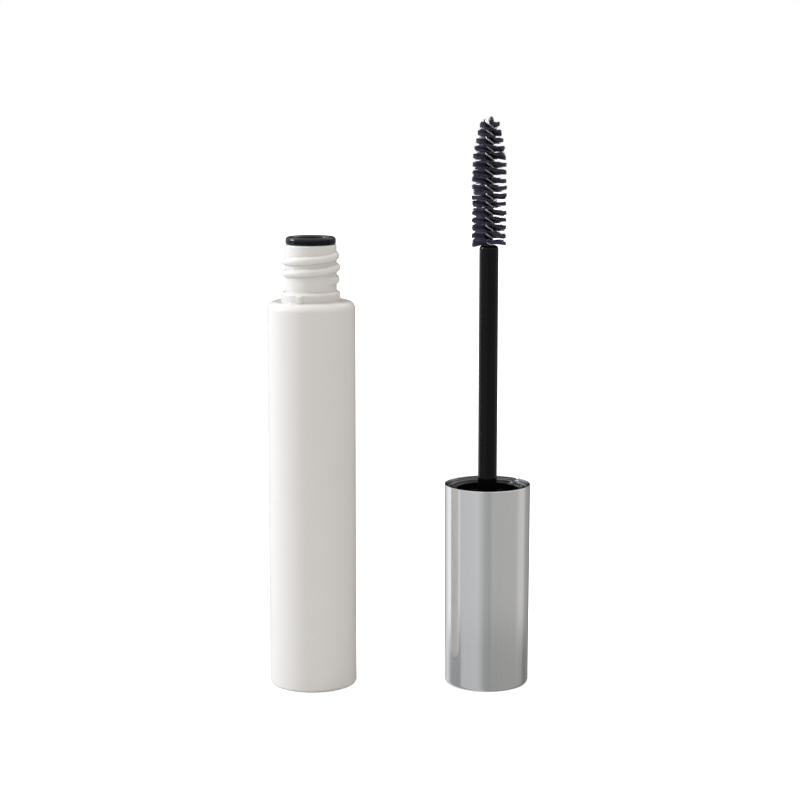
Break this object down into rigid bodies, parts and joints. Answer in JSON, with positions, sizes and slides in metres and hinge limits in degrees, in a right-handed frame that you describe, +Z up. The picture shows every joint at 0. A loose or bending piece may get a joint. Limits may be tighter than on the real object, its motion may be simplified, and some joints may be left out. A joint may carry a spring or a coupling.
{
  "type": "mascara tube",
  "caption": "Open mascara tube: white bottle with screw neck and wiper, beside its metal-capped applicator with stem and twisted-wire brush.",
  "frame": {"origin": "centre of the bottle's base", "axes": "+Z up along the bottle's axis; +X towards the applicator, which stands upside down on its cap; +Y away from the viewer"},
  "size_m": [0.0538, 0.018, 0.117],
  "materials": {
    "bottle_polymer": "glossy pearl white, slightly translucent",
    "wiper_elastomer": "soft black polymer with a low sheen",
    "mascara": "wet black paste",
    "cap_aluminium": "polished, faintly brushed along its length",
    "insert_polymer": "glossy black moulding",
    "weight_steel": "turned and plated",
    "liner_foam": "fine closed-cell foam",
    "stem_polymer": "glossy black moulding",
    "brush_wire": "drawn steel, stained by mascara",
    "brush_fibre": "blue-black nylon fibre"
  },
  "bodies": {
    "bottle": {"bottle": "bottle_polymer", "wiper": "wiper_elastomer", "mascara_paste": "mascara"},
    "liner": {"sealing_liner": "liner_foam"},
    "applicator": {"outer_shell": "cap_aluminium", "inner_cap": "insert_polymer", "cap_weight": "weight_steel", "stem": "stem_polymer", "core_wire": "brush_wire", "bristles": "brush_fibre"}
  },
  "joints": [
    {"name": "applicator_lift", "type": "slide", "parent": "bottle", "child": "liner", "axis": [0, 0, 1], "range_m": [0, 0.1]},
    {"name": "cap_twist", "type": "hinge", "parent": "liner", "child": "applicator", "pos_m": [0.036, 0, 0], "axis": [0, 0, 1], "range_deg": [0, 540]}
  ]
}
